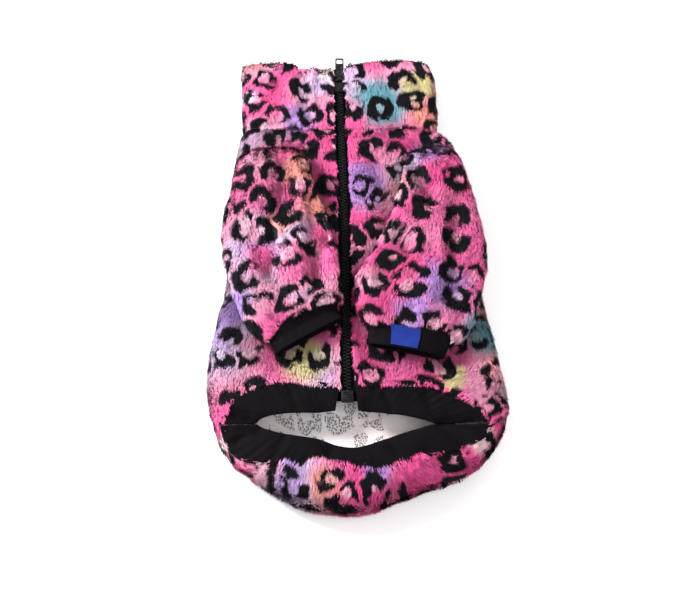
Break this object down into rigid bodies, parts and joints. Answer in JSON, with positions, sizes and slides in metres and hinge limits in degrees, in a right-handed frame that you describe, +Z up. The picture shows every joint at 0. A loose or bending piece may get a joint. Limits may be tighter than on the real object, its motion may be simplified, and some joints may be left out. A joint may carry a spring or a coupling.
{
  "type": "dog winter coat",
  "caption": "Plush dog coat laid on its back, with a stand collar, two sleeves with black cuffs, a front zip and a black hem band round its open mouth",
  "frame": {"origin": "centre of the laid coat's outline, on the surface that it lies on", "axes": "+Z up from the surface, +Y from the tail towards the collar, +X to the picture's right; the belly and its zip face +Z"},
  "size_m": [0.264, 0.4576, 0.057],
  "materials": {
    "plush": "long soft pile, pink, lilac, blue and yellow ground with black rosettes",
    "elastic_cloth": "smooth matt black elastic knit",
    "zip": "black woven tape and black moulded teeth",
    "zip_metal": "black lacquer, semi-gloss",
    "label": "plain blue woven satin, bare"
  },
  "bodies": {
    "coat": {"back_panel": "plush", "belly_left": "plush", "belly_right": "plush", "collar": "plush", "sleeve_left": "plush", "sleeve_right": "plush", "cuff_left": "elastic_cloth", "cuff_right": "elastic_cloth", "hem_band_left": "elastic_cloth", "hem_band_right": "elastic_cloth", "hem_band_back": "elastic_cloth", "cuff_label": "label", "zip_tape_left": "zip", "zip_tape_right": "zip", "zip_chain": "zip", "zip_bottom_box": "zip", "zip_slider": "zip_metal"},
    "pull_tab": {"zip_pull": "zip_metal"}
  },
  "joints": [
    {"name": "pull_tab_hinge", "type": "hinge", "parent": "coat", "child": "pull_tab", "pos_m": [-0.0163, 0.1996, 0.0247], "axis": [1, 0, 0], "range_deg": [0, 170]}
  ]
}
